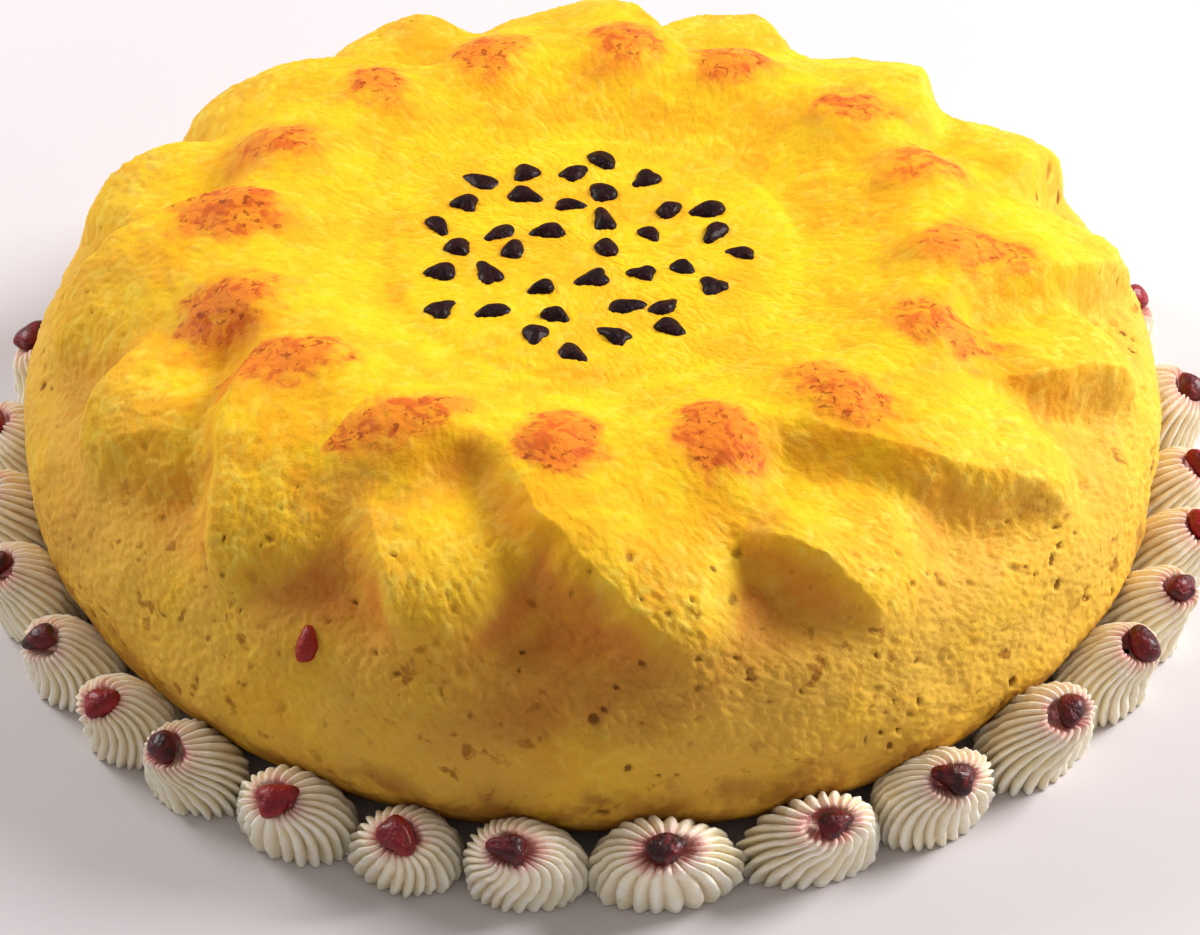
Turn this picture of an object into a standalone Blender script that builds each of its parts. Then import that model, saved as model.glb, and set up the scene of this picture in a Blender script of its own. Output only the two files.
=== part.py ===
"""A moulded saffron rice cake with dark barberries on its crown and a piped ring round its foot.

The cake stands on the XY plane, centred on the Z axis, with its front towards -Y. Lengths are in
metres and angles in degrees, anticlockwise from +X. The mould is a sunflower: a flat seed disc, a
ring of sixteen knobs, and eight long petals that lie over eight short ones, all with their tips
out over the shoulder. The ring is cream rosettes, each bent outwards with a red barberry on it.
"""

import math

import bmesh
import bpy
import numpy as np
from mathutils import Matrix, Vector
from mathutils.bvhtree import BVHTree

SEED = 11

# The plain body: a squared dome over a foot that draws in.
BODY_RADIUS = 0.1168
FOOT_RADIUS = 0.1046
FOOT_HEIGHT = 0.0190
FOOT_ROWS = 3
WAIST_HEIGHT = 0.0150
DOME_RISE = 0.0530
DOME_POWER = 3.0
BODY_STEPS = 144

# The dished crown and its seed disc, which stands up by a small step.
DISH_DEPTH = 0.0070
DISH_RADIUS = 0.0660
DISC_RADIUS = 0.0410
DISC_STEP = 0.0006
DISC_BEVEL = 0.0020
CROWN_ROWS = (0, 0.020, DISC_RADIUS - DISC_BEVEL, DISC_RADIUS + DISC_BEVEL, 0.047, 0.053)

# The petals. A height is how far a petal stands off the plain dome: at the crown, at its root and
# at its tip. Each edge opens from the tip by so many degrees a metre. The clockwise flank is a
# cliff and the other a slope, which run out and in from the edge, and the top falls between them.
LONG_PETAL = {"first": 7.0, "heights": (0.0026, 0.0026, 0.0032)}
SHORT_PETAL = {"first": 29.5, "heights": (0.0026, -0.0026, 0.0046)}
DROP_START, DROP_WIDTH = 0.0690, 0.0095
CLIMB_START, CLIMB_WIDTH = 0.0770, 0.0270
CLIFF = {"opening": 540, "out": 0.0080, "in": 0.0022}
SLOPE = {"opening": 430, "out": 0.0080, "in": 0.0070}
STEEP_WIDTH = 5.0
SAW_HEIGHT = 0.0030
SAW_START = 0.0740
SAW_WIDTH = 0.0180
SAW_TURN = 8.0
SHOULDER_HEIGHT = -0.0042
PETAL_PITCH = 45.0
TIP_RADIUS = 0.1130
TIP_ROUNDING = 1.2

# How far each tip leans round, in degrees, from the long petal on the right side anticlockwise.
TIP_LEANS = (1, -1, 0, 2, -1, 1, 0, 0, 0, 1, 1.5, -0.5, 3.5, 1, 4.5, 3)
LEAN_START = 0.0850
LEAN_WIDTH = 0.0250

# The relief fades in outside the dish and fades out above the plain side.
RELIEF_START = 0.0560
RELIEF_START_WIDTH = 0.0180
RELIEF_FLOOR = 0.0390
RELIEF_FADE = 0.0120
RELIEF_ROWS = 18

# Two knobs stand at each short petal's root.
KNOB_RADIUS = 0.0690
KNOB_RISE = 0.0022
KNOB_OFFSET = 10.0
KNOB_HALF_TURN = 6.2
KNOB_HALF_LENGTH = 0.0115

# The whole surface is slightly uneven.
LUMP_HEIGHT = 0.0004
LUMP_WAVES = 4
LUMP_TURN = 90
LUMP_RISE = 55

# Barberries pressed into the seed disc, and one that shows in the side.
SEEDS = 37
SEED_SPREAD = (0.0340, 0.0370)
SEEDS_CENTRE = (-0.0030, 0.0010)
SEED_JITTER = 0.0022
SEED_SIZE = (0.0074, 0.0056, 0.0044)
SEED_SUNK = 0.0006
SIDE_BERRY_ANGLE = 241.0
SIDE_BERRY_HEIGHT = 0.0425

# The piped ring: the gaps between neighbours run from the left side round the front, and those at
# the back are even.
RING_RADIUS = 0.1192
RING_START = 164.0
RING_GAPS = (14, 11, 11.5, 10.5, 11, 8, 12.5, 11, 9.5, 13, 14.5, 11.5, 13, 12, 8.5, 10, 10, 11, 15.5)
BACK_GAPS = 10
ROSETTE_DEPTH = 0.0085
ROSETTE_HEIGHT = 0.0155
ROSETTE_BEND = 27.0
ROSETTE_STEPS = 16
RIB_DEPTH = 0.11
RIB_TWIST = 28.0
DIMPLE = 0.0042
CLEARANCE = 0.0003

# The rosettes stand taller round one side of the front.
TALL_ANGLE = 312.0
TALL_HALF_TURN = 50.0
TALL_SHARE = 0.20

BERRY_SIZE = (0.0078, 0.0061, 0.0053)
BERRY_BURIED = 0.0044
BERRY_TAPER = 0.35
LIFT_STEP = 0.0001

YELLOW = (0.86, 0.56, 0.045, 1)
CREAM = (0.80, 0.74, 0.62, 1)
RED = (0.24, 0.006, 0.012, 1)


def clear_scene():
    for obj in list(bpy.data.objects):
        bpy.data.objects.remove(obj, do_unlink=True)


def new_collection(name, shown=True):
    collection = bpy.data.collections.new(name)
    collection.hide_render = not shown
    bpy.context.scene.collection.children.link(collection)
    return collection


def new_material(name, colour, roughness):
    material = bpy.data.materials.new(name)
    material.use_nodes = True
    shader = material.node_tree.nodes["Principled BSDF"]
    shader.inputs["Base Color"].default_value = colour
    shader.inputs["Roughness"].default_value = roughness
    shader.inputs["Metallic"].default_value = 0.0
    return material


def smooth(share):
    """0 below 0, 1 above 1, and an S-curve between."""
    share = np.clip(share, 0, 1)
    return share * share * (3 - 2 * share)


def from_nearest(angle, first):
    """The signed turn to each angle from the nearest of the places one petal pitch apart."""
    middle = first + PETAL_PITCH * np.round((angle - first) / PETAL_PITCH)
    return angle - middle


def dome_height(radius):
    """The squared dome's surface over a point at this radius."""
    share = np.clip(1 - (radius / BODY_RADIUS) ** DOME_POWER, 0, 1)
    return WAIST_HEIGHT + DOME_RISE * share ** (1 / DOME_POWER)


def crown_height(radius):
    """The dome, dished towards the middle, with the seed disc in the dish."""
    dish = DISH_DEPTH * (1 - smooth((radius - DISC_RADIUS) / (DISH_RADIUS - DISC_RADIUS)))
    level = dome_height(DISC_RADIUS) - DISH_DEPTH + DISC_STEP
    in_disc = smooth((DISC_RADIUS + DISC_BEVEL - radius) / (2 * DISC_BEVEL))
    return (1 - in_disc) * (dome_height(radius) - dish) + in_disc * level


def shoulder_rows():
    """Rows at even lengths along the dome, from the last crown row to the relief's end, and the waist."""
    turn = np.linspace(0, math.pi / 2, 2000)
    radius = BODY_RADIUS * np.sin(turn) ** (2 / DOME_POWER)
    height = WAIST_HEIGHT + DOME_RISE * np.cos(turn) ** (2 / DOME_POWER)
    outer = radius > RELIEF_START + 0.002
    radius, height = radius[outer], height[outer]
    length = np.concatenate([[0], np.cumsum(np.hypot(np.diff(radius), np.diff(height)))])
    relief_end = np.interp(-RELIEF_FLOOR, -height, length)
    stations = np.append(np.linspace(0, relief_end, RELIEF_ROWS), length[-1])
    radius, height = np.interp(stations, length, radius), np.interp(stations, length, height)
    return [(r, crown_height(r) if r < DISH_RADIUS else z) for r, z in zip(radius, height)]


def body_profile():
    """Radius and height from the crown's middle, over the shoulder and down to the foot's middle."""
    crown = [(r, crown_height(r)) for r in CROWN_ROWS]
    foot = []
    for share in np.linspace(1, 0, FOOT_ROWS + 1)[1:]:
        radius = BODY_RADIUS - (BODY_RADIUS - FOOT_RADIUS) * (1 - share) ** 2
        foot.append((radius, share * FOOT_HEIGHT))
    return crown + shoulder_rows() + foot + [(0, 0)]


def lay_petals(angle, radius, petal, below):
    """Lays eight pointed petals of one kind over what lies below, the neighbours' edges first."""
    crown, root, tip = petal["heights"]
    top = crown + (root - crown) * smooth((radius - DROP_START) / DROP_WIDTH)
    top = top + (tip - root) * smooth((radius - CLIMB_START) / CLIMB_WIDTH)
    fall = SAW_HEIGHT * smooth((radius - SAW_START) / SAW_WIDTH)
    arc = np.radians(radius)
    for neighbour in (-1, 0, 1):
        turn = from_nearest(angle, petal["first"]) + neighbour * PETAL_PITCH
        steep = smooth(0.5 - turn / STEEP_WIDTH)
        opening, out, into = (
            steep * CLIFF[key] + (1 - steep) * SLOPE[key] for key in ("opening", "out", "in")
        )
        off = np.hypot(turn, TIP_ROUNDING) - TIP_ROUNDING
        inside = (opening * (TIP_RADIUS - radius) - off) * arc / np.hypot(1, opening * arc)
        share = np.clip((inside + out) / (out + into), 0, 1)
        cliff = 0.5 * share**1.6 + 0.5 * smooth(share) ** 1.5
        share = steep * cliff + (1 - steep) * smooth(share)
        below = below + share * (top - fall * np.tanh(turn / SAW_TURN) - below)
    return below


def petal_relief(angle, radius, height):
    """How far the mould pushes the dome's surface out along its normal at each point."""
    places = LONG_PETAL["first"] + PETAL_PITCH / 2 * np.arange(len(TIP_LEANS))
    lean = np.interp(angle, places, TIP_LEANS, period=360)
    angle = angle - lean * smooth((radius - LEAN_START) / LEAN_WIDTH)
    relief = lay_petals(angle, radius, SHORT_PETAL, SHOULDER_HEIGHT)
    relief = lay_petals(angle, radius, LONG_PETAL, relief)
    relief *= smooth((height - RELIEF_FLOOR) / RELIEF_FADE)
    relief *= smooth((radius - RELIEF_START) / RELIEF_START_WIDTH)
    across = (np.abs(from_nearest(angle, SHORT_PETAL["first"])) - KNOB_OFFSET) / KNOB_HALF_TURN
    along = (radius - KNOB_RADIUS) / KNOB_HALF_LENGTH
    return relief + KNOB_RISE * np.exp(-(across**2) - along**2)


def uneven(angle, height, rng):
    """Low waves that run round and up the cake."""
    lumps = 0
    for k, (turn_phase, rise_phase) in enumerate(rng.uniform(0, 2 * math.pi, (LUMP_WAVES, 2))):
        around = np.sin((k + 2) * np.radians(angle) + LUMP_TURN * height + turn_phase)
        lumps = lumps + around * np.sin(LUMP_RISE * (k + 1) * height + rise_phase)
    return LUMP_HEIGHT * lumps


def mould_body(points, rng):
    """Moves the turned dome's points along its normals, to the mould's uneven relief."""
    x, y, z = points.T
    radius, angle = np.hypot(x, y), np.degrees(np.arctan2(y, x))
    out = (radius / BODY_RADIUS) ** (DOME_POWER - 1) / BODY_RADIUS
    up = (np.clip(z - WAIST_HEIGHT, 0, None) / DOME_RISE) ** (DOME_POWER - 1) / DOME_RISE
    steep = np.hypot(out, up)
    clear_of_base = smooth(z / FOOT_HEIGHT)
    clear_of_disc = smooth((radius - DISC_RADIUS) / (10 * DISC_BEVEL))
    push = petal_relief(angle, radius, z) + uneven(angle, z, rng) * clear_of_base * clear_of_disc
    share = push / np.where(steep > 0, steep, 1)
    grow = 1 + share * out / np.where(radius > 0, radius, 1)
    return np.stack([x * grow, y * grow, z + share * up], axis=-1)


def turned_mesh(name, rows, steps):
    """A profile of (radius, height) rows from the top axis point round to the bottom one, turned."""
    profile = bpy.data.meshes.new("Profile")
    profile.from_pydata([(r, 0, z) for r, z in rows], [(i, i + 1) for i in range(len(rows) - 1)], [])
    obj = bpy.data.objects.new("Profile", profile)
    bpy.context.scene.collection.objects.link(obj)
    screw = obj.modifiers.new("Turn", "SCREW")
    screw.steps = screw.render_steps = steps
    screw.use_merge_vertices = True
    screw.merge_threshold = 0.00002
    turned = applied_mesh(obj)
    turned.name = name
    bpy.data.meshes.remove(profile)
    return turned


def applied_mesh(obj):
    """The object's mesh with its modifiers applied."""
    graph = bpy.context.evaluated_depsgraph_get()
    return bpy.data.meshes.new_from_object(obj.evaluated_get(graph))


def reshape(mesh, change):
    """Replaces the mesh's points by what change gives for them, as one array."""
    points = np.empty(len(mesh.vertices) * 3)
    mesh.vertices.foreach_get("co", points)
    mesh.vertices.foreach_set("co", change(points.reshape(-1, 3)).ravel())
    mesh.update()


def place_object(name, mesh, material, collection):
    mesh.materials.clear()
    mesh.materials.append(material)
    mesh.shade_smooth()
    obj = bpy.data.objects.new(name, mesh)
    collection.objects.link(obj)
    return obj


def pebble(name, size, segments, rings, place):
    """A small ellipsoid, drawn out to a blunt point at its +X end."""
    mesh = bpy.data.meshes.new(name)
    shape = bmesh.new()
    bmesh.ops.create_uvsphere(shape, u_segments=segments, v_segments=rings, radius=0.5)
    for vertex in shape.verts:
        thin = 1 - BERRY_TAPER * max(0, 2 * vertex.co.x) ** 2
        vertex.co *= Vector((size[0], size[1] * thin, size[2] * thin))
    bmesh.ops.transform(shape, matrix=place, verts=shape.verts)
    shape.to_mesh(mesh)
    shape.free()
    return mesh


def surface_point(body, start, direction):
    """Where a ray meets the body, and the surface normal there."""
    hit, place, normal, _ = body.ray_cast(Vector(start), Vector(direction))
    if not hit:
        raise ValueError("the ray misses the body")
    return place, normal


def lying_on(place, normal, yaw):
    """A matrix that lays a berry flat on a surface point, turned by yaw and sunk a little."""
    lay = Vector((0, 0, 1)).rotation_difference(normal).to_matrix().to_4x4()
    return Matrix.Translation(place - normal * SEED_SUNK) @ lay @ Matrix.Rotation(yaw, 4, "Z")


def disc_seeds(body, rng):
    """Barberries in a sunflower spiral on the disc, and one on the side."""
    golden = math.pi * (3 - math.sqrt(5))
    seeds = []
    for k in range(SEEDS):
        reach = math.sqrt((k + 0.4) / SEEDS)
        spiral = np.array([math.cos(k * golden), math.sin(k * golden)]) * reach * SEED_SPREAD
        above = SEEDS_CENTRE + spiral + rng.uniform(-SEED_JITTER, SEED_JITTER, 2)
        place, normal = surface_point(body, (*above, 1), (0, 0, -1))
        size = np.array(SEED_SIZE) * rng.uniform(0.8, 1.15, 3)
        matrix = lying_on(place, normal, rng.uniform(0, 2 * math.pi))
        seeds.append(pebble(f"Seed {k + 1}", size, 6, 4, matrix))
    angle = math.radians(SIDE_BERRY_ANGLE)
    out = Vector((math.cos(angle), math.sin(angle), 0))
    place, normal = surface_point(body, out + Vector((0, 0, SIDE_BERRY_HEIGHT)), -out)
    seeds.append(pebble("Side berry", SEED_SIZE, 6, 4, lying_on(place, normal, math.pi / 2)))
    return seeds


def make_cake(parts, helpers, material):
    """The moulded body, with the berries on it joined to it."""
    rng = np.random.default_rng(SEED)
    mesh = turned_mesh("cake", body_profile(), BODY_STEPS)
    reshape(mesh, lambda points: mould_body(points, rng))
    cake = place_object("cake", mesh, material, parts)
    bpy.context.view_layer.update()
    for seed in disc_seeds(cake, rng):
        helpers.objects.link(bpy.data.objects.new(seed.name, seed))
    union = cake.modifiers.new("Berries", "BOOLEAN")
    union.operand_type = "COLLECTION"
    union.operation = "UNION"
    union.solver = "EXACT"
    union.collection = helpers
    joined = applied_mesh(cake)
    cake.modifiers.clear()
    cake.data = joined
    for helper in list(helpers.objects):
        bpy.data.objects.remove(helper, do_unlink=True)


def rosette_rows(height):
    """A piped dome of unit radius, with a small dimple at its peak where the berry sits."""
    outer = [(0.46, 1.0), (0.78, 0.74), (1.0, 0.30), (0.94, 0.0)]
    return [(0, height - DIMPLE)] + [(radius, rise * height) for radius, rise in outer] + [(0, 0)]


def pipe_rosette(points, before, after, height):
    """Ribs the turned dome, stretches it to reach its neighbours and bends it over outwards."""
    x, y, z = points.T
    radius, angle = np.hypot(x, y), np.arctan2(y, x)
    rise = z / height
    rib = np.round(angle / (2 * math.pi / ROSETTE_STEPS)).astype(int) % 2
    radius = radius * (1 - RIB_DEPTH * rib)
    angle = angle + math.radians(RIB_TWIST) * rise
    along = ROSETTE_DEPTH * radius * np.cos(angle)
    across = radius * np.sin(angle)
    across = across * np.where(across > 0, after, before)
    bend = math.radians(ROSETTE_BEND) * rise
    bent_along = along * np.cos(bend) + z * np.sin(bend)
    bent_up = z * np.cos(bend) - along * np.sin(bend)
    return np.stack([bent_along, across, bent_up], axis=-1)


def ring_places():
    """Each rosette's angle, with the gaps to the neighbours before and after it."""
    back_gap = (360 - sum(RING_GAPS)) / BACK_GAPS
    gaps = list(RING_GAPS) + [back_gap] * BACK_GAPS
    angle = RING_START
    for k, gap in enumerate(gaps):
        yield angle % 360, gaps[k - 1], gap
        angle += gap


def tree_of(mesh):
    return BVHTree.FromPolygons([v.co for v in mesh.vertices], [p.vertices for p in mesh.polygons])


def lift_clear(mesh, under, out):
    """Moves the piece out until it no longer cuts the one under it, and then by the clearance."""
    below = tree_of(under)
    while tree_of(mesh).overlap(below):
        mesh.transform(Matrix.Translation(out * LIFT_STEP))
    mesh.transform(Matrix.Translation(out * CLEARANCE))


def half_gap(gap):
    """How far a rosette reaches towards a neighbour this many degrees away."""
    return RING_RADIUS * math.sin(math.radians(gap) / 2) - CLEARANCE


def make_ring(parts, cream, red):
    """The ring of rosettes, with a barberry pressed into the peak of each."""
    rng = np.random.default_rng(SEED + 1)
    tilt = Matrix.Rotation(math.radians(ROSETTE_BEND), 4, "Y")
    for k, (angle, gap_before, gap_after) in enumerate(ring_places(), start=1):
        taller = TALL_SHARE * smooth(1 - abs(angle - TALL_ANGLE) / TALL_HALF_TURN)
        height = ROSETTE_HEIGHT * (1 + taller) * rng.uniform(0.92, 1.10)
        rosette = turned_mesh(f"rosette_{k:02d}", rosette_rows(height), ROSETTE_STEPS)
        before, after = half_gap(gap_before), half_gap(gap_after)
        reshape(rosette, lambda points: pipe_rosette(points, before, after, height))

        size = np.array(BERRY_SIZE) * rng.uniform(0.88, 1.08)
        seat = Matrix.Translation((0, 0, height + size[2] / 2 - BERRY_BURIED))
        yaw = Matrix.Rotation(rng.uniform(0, 2 * math.pi), 4, "Z")
        berry = pebble(f"berry_{k:02d}", size, 7, 4, tilt @ seat @ yaw)
        lift_clear(berry, rosette, tilt @ Vector((0, 0, 1)))

        turn = Matrix.Rotation(math.radians(angle), 4, "Z") @ Matrix.Translation((RING_RADIUS, 0, 0))
        place_object(f"rosette_{k:02d}", rosette, cream, parts).matrix_world = turn
        place_object(f"berry_{k:02d}", berry, red, parts).matrix_world = turn


def main():
    clear_scene()
    parts = new_collection("Saffron rice cake")
    helpers = new_collection("Pieces to join", shown=False)
    yellow = new_material("Saffron rice", YELLOW, 0.55)
    cream = new_material("Piped cream", CREAM, 0.6)
    red = new_material("Barberry", RED, 0.3)
    make_cake(parts, helpers, yellow)
    make_ring(parts, cream, red)


main()
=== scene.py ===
# Looks for a moulded saffron rice cake with barberries on its crown and a piped ring round its foot.
# Lengths are in metres. Angles are in degrees, anticlockwise from +X, and the front is towards -Y.
import math
import bpy
import numpy as np
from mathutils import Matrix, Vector


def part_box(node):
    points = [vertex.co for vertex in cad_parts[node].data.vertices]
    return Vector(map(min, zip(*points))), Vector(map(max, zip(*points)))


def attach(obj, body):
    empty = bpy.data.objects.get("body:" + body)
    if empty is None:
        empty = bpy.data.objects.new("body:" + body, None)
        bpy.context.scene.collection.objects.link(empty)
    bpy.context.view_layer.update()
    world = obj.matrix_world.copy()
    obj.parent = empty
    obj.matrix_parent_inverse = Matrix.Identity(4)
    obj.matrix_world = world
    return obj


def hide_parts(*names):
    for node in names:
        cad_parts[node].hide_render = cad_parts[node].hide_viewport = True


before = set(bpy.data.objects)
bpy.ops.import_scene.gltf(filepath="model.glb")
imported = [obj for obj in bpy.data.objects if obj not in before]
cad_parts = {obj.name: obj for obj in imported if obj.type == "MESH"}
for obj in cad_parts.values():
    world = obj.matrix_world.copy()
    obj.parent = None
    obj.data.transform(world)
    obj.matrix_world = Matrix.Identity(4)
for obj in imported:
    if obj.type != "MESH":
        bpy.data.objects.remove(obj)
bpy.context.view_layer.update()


# Small helpers

def smooth(share):
    # 0 below 0, 1 above 1, and the S-curve 3s^2 - 2s^3 between
    share = np.clip(share, 0, 1)
    return share * share * (3 - 2 * share)


def colour(red, green, blue):
    # a screen colour, 0 to 255, as the linear colour that shaders take
    screen = np.array([red, green, blue]) / 255
    linear = np.where(screen < 0.04045, screen / 12.92, ((screen + 0.055) / 1.055) ** 2.4)
    return (*linear.tolist(), 1.0)


def scramble(cells, seed):
    # a fixed number from 0 to 1 for each whole-number cell: the three indices are mixed by multiplying and shifting
    x, y, z = (cells[..., k].astype(np.int64) for k in range(3))
    mixed = (x * 73856093) ^ (y * 19349663) ^ (z * 83492791) ^ (seed * 2654435)
    mixed = (mixed ^ (mixed >> 13)) & 0x7FFFFFFF
    mixed = (mixed * 1274126177) & 0x7FFFFFFF
    mixed = (mixed ^ (mixed >> 15)) & 0x7FFFFFFF
    mixed = (mixed * 668265263) & 0x7FFFFFFF
    return ((mixed >> 7) & 0xFFFFF) / 0xFFFFF


def softNoise(points, size, seed):
    # value noise from -1 to 1: random numbers at the corners of cubes of this size, blended by S-curves
    cell = points / size
    base = np.floor(cell).astype(np.int64)
    part = smooth(cell - base)
    total = 0
    for corner in np.ndindex(2, 2, 2):
        weight = np.prod(np.where(corner, part, 1 - part), axis=-1)
        total = total + weight * scramble(base + corner, seed)
    return 2 * total - 1


def layeredNoise(points, size, seed, layers=3):
    # noise with finer layers on top, each half the size and half the strength of the one before
    return sum(softNoise(points, size / 2**k, seed + k) / 2**k for k in range(layers))


def scatterField(points, cell, halfLength, halfWidth, seed, share=1.0, normals=None):
    # Long specks strewn through space, one to a cubic cell: for each point, its distance to the nearest speck's middle
    # and to the next one's, in units of the speck's half width across and half length along, and the nearest's number.
    # Where normals are given, the specks are pressed flat into the surface
    home = np.floor(points / cell).astype(np.int64)
    nearest = np.full(len(points), 9.0)
    second = nearest.copy()
    number = np.zeros(len(points))
    for step in np.ndindex(3, 3, 3):
        place = home + np.array(step) - 1
        middle = (place + np.stack([scramble(place, seed + k) for k in (1, 2, 3)], axis=-1)) * cell
        up = 2 * scramble(place, seed + 4) - 1
        turn = 2 * np.pi * scramble(place, seed + 5)
        flat = np.sqrt(1 - up * up)
        axis = np.stack([flat * np.cos(turn), flat * np.sin(turn), up], axis=-1)
        away = points - middle
        if normals is not None:
            axis = axis - np.sum(axis * normals, axis=-1)[:, None] * normals
            axis = axis / np.maximum(np.linalg.norm(axis, axis=-1), 1e-6)[:, None]
            away = away - np.sum(away * normals, axis=-1)[:, None] * normals
        along = np.sum(away * axis, axis=-1)
        across = np.sqrt(np.maximum(np.sum(away * away, axis=-1) - along**2, 0))
        size = 0.8 + 0.4 * scramble(place, seed + 6)
        distance = np.hypot(along / halfLength, across / halfWidth) / size
        distance = np.where(scramble(place, seed + 7) < share, distance, 9.0)
        closer = distance < nearest
        second = np.where(closer, nearest, np.minimum(second, distance))
        number = np.where(closer, scramble(place, seed + 8), number)
        nearest = np.where(closer, distance, nearest)
    return nearest, second, number


def gridFaces(rows, steps):
    # quads between neighbouring rows of a grid whose rows each close on themselves
    row, step = np.meshgrid(np.arange(rows - 1), np.arange(steps), indexing="ij")
    after = (step + 1) % steps
    quads = [row * steps + step, (row + 1) * steps + step, (row + 1) * steps + after, row * steps + after]
    return np.stack(quads, axis=-1).reshape(-1, 4)


def buildMesh(name, points, faces, values=None, normals=None):
    # a mesh from whole arrays: faces is an array of quads, or of triangles where a fourth index is -1
    mesh = bpy.data.meshes.new(name)
    sides = np.where(faces[:, 3] < 0, 3, 4)
    corners = faces[faces >= 0]
    mesh.vertices.add(len(points))
    mesh.vertices.foreach_set("co", np.ascontiguousarray(points, np.float32).ravel())
    mesh.loops.add(len(corners))
    mesh.loops.foreach_set("vertex_index", corners.astype(np.int32))
    mesh.polygons.add(len(faces))
    starts = np.concatenate([[0], np.cumsum(sides)[:-1]])
    mesh.polygons.foreach_set("loop_start", starts.astype(np.int32))
    mesh.update(calc_edges=True)
    mesh.validate()
    mesh.shade_smooth()
    for key, value in (values or {}).items():
        attribute = mesh.attributes.new(key, "FLOAT", "POINT")
        attribute.data.foreach_set("value", np.ascontiguousarray(value, np.float32).ravel())
    if normals is not None:
        mesh.normals_split_custom_set_from_vertices(normals)
    return mesh


def addPiece(name, mesh, material, nodes):
    # a finished piece at the origin that rides on the cake and stands for these nodes
    mesh.materials.append(material)
    piece = bpy.data.objects.new(name, mesh)
    bpy.context.scene.collection.objects.link(piece)
    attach(piece, "root")
    if nodes:
        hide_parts(*nodes)
    return piece


class Shader:
    # a Principled material with short calls for the nodes that these finishes use

    def __init__(self, name, **fixed):
        # fixed holds what is the same all over the surface, set on the shader's own sockets
        self.material = bpy.data.materials.new(name)
        self.material.use_nodes = True
        self.tree = self.material.node_tree
        self.skin = self.tree.nodes["Principled BSDF"]
        for key, value in fixed.items():
            self.skin.inputs[key.replace("_", " ")].default_value = value
        self.place = self.tree.nodes.new("ShaderNodeTexCoord").outputs["Object"]

    def feed(self, socket, value):
        # a socket takes either a number or colour, or another node's output
        if isinstance(value, bpy.types.NodeSocket):
            self.tree.links.new(value, socket)
        else:
            socket.default_value = value

    def finish(self, **varied):
        # what varies over the surface goes to the shader's sockets, and the material is ready
        for key, value in varied.items():
            self.feed(self.skin.inputs[key.replace("_", " ")], value)
        return self.material

    def attribute(self, name):
        # a value kept at the mesh's points
        node = self.tree.nodes.new("ShaderNodeAttribute")
        node.attribute_name = name
        return node.outputs["Fac"]

    def noise(self, scale, detail=3.0, distortion=0.0):
        # soft noise in the object's own space, from 0 to 1
        node = self.tree.nodes.new("ShaderNodeTexNoise")
        self.feed(node.inputs["Vector"], self.place)
        node.inputs["Scale"].default_value = scale
        node.inputs["Detail"].default_value = detail
        node.inputs["Distortion"].default_value = distortion
        return node.outputs["Fac"]

    def between(self, value, low, high, bottom=0.0, top=1.0):
        # low to high becomes bottom to top, held at both ends
        node = self.tree.nodes.new("ShaderNodeMapRange")
        node.interpolation_type = "SMOOTHSTEP"
        for socket, number in zip(node.inputs, (value, low, high, bottom, top)):
            self.feed(socket, number)
        return node.outputs["Result"]

    def combine(self, operation, first, second):
        # the sum or product of two values, held from 0 to 1
        node = self.tree.nodes.new("ShaderNodeMath")
        node.operation = operation
        node.use_clamp = True
        self.feed(node.inputs[0], first)
        self.feed(node.inputs[1], second)
        return node.outputs[0]

    def times(self, first, second):
        # the product alone, which is what most finishes need
        return self.combine("MULTIPLY", first, second)

    def broken(self, name, noise, *limits):
        # an attribute broken up by noise that is stretched between these limits
        return self.times(self.attribute(name), self.between(self.noise(*noise), *limits))

    def mix(self, share, first, second):
        # first where the share is 0, second where it is 1
        node = self.tree.nodes.new("ShaderNodeMix")
        node.data_type = "RGBA"
        self.feed(node.inputs[0], share)
        self.feed(node.inputs[6], first)
        self.feed(node.inputs[7], second)
        return node.outputs[2]

    def bump(self, height, depth, below=None):
        # fine relief of this depth, over other relief where that is given
        node = self.tree.nodes.new("ShaderNodeBump")
        node.inputs["Distance"].default_value = depth
        self.feed(node.inputs["Height"], height)
        if below is not None:
            self.feed(node.inputs["Normal"], below)
        return node.outputs["Normal"]


# The rice body

rice = {
    "seed": 11,
    "steps": 1200,          # points round the cake
    "spacing": 0.00062,     # between rows, along the surface
    "baseRows": 8,
    "bands": ("riceCrown", "riceRim", "riceShoulder", "riceSide"),  # so that each mesh stays light
    "radius": 0.1168, "footRadius": 0.1046, "footHeight": 0.0190, "waist": 0.0150, "rise": 0.0530, "power": 3.0,
    "dishDepth": 0.0070, "dishRadius": 0.0660,
    "discRadius": 0.0410, "discStep": 0.0006, "discBevel": 0.0020, "discMargin": 0.0100,
    "sideStart": 0.0840, "sideWidth": 0.0200,    # where the crown turns into the side
    # unevenness, each as strength and size: the petals' turn and reach, the relief's depth, the soft lumps
    "turnWobble": (1.1, 0.016), "reachWobble": (0.0013, 0.012), "reliefWobble": (0.16, 0.030),
    "lumps": (0.00050, 0.0095), "sideLumps": (0.00050, 0.0190), "waves": 0.0004,
    "grainSpacing": 0.0036, "grainLength": 0.0062, "grainWidth": 0.0021, "grainRise": 0.00034,
    "paleGrains": 0.72,                          # grains numbered above this are paler
    "pits": ((0.0036, 0.50, 91), (0.0058, 0.42, 131), (0.0078, 0.40, 191)),    # spacing, share and seed of each kind
    "pitHalfLength": 0.36, "pitHalfWidth": 0.17, "pitDepth": 0.00085,          # the halves against the spacing
    # where the foot's browned crust, with painted contact shade in it, and the lower tint, part painted warm shade,
    # begin and fade
    "crustShadeHeight": 0.0215, "crustShadeFade": 0.0090, "lowerHeight": 0.0600, "lowerFade": 0.0220,
}
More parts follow.
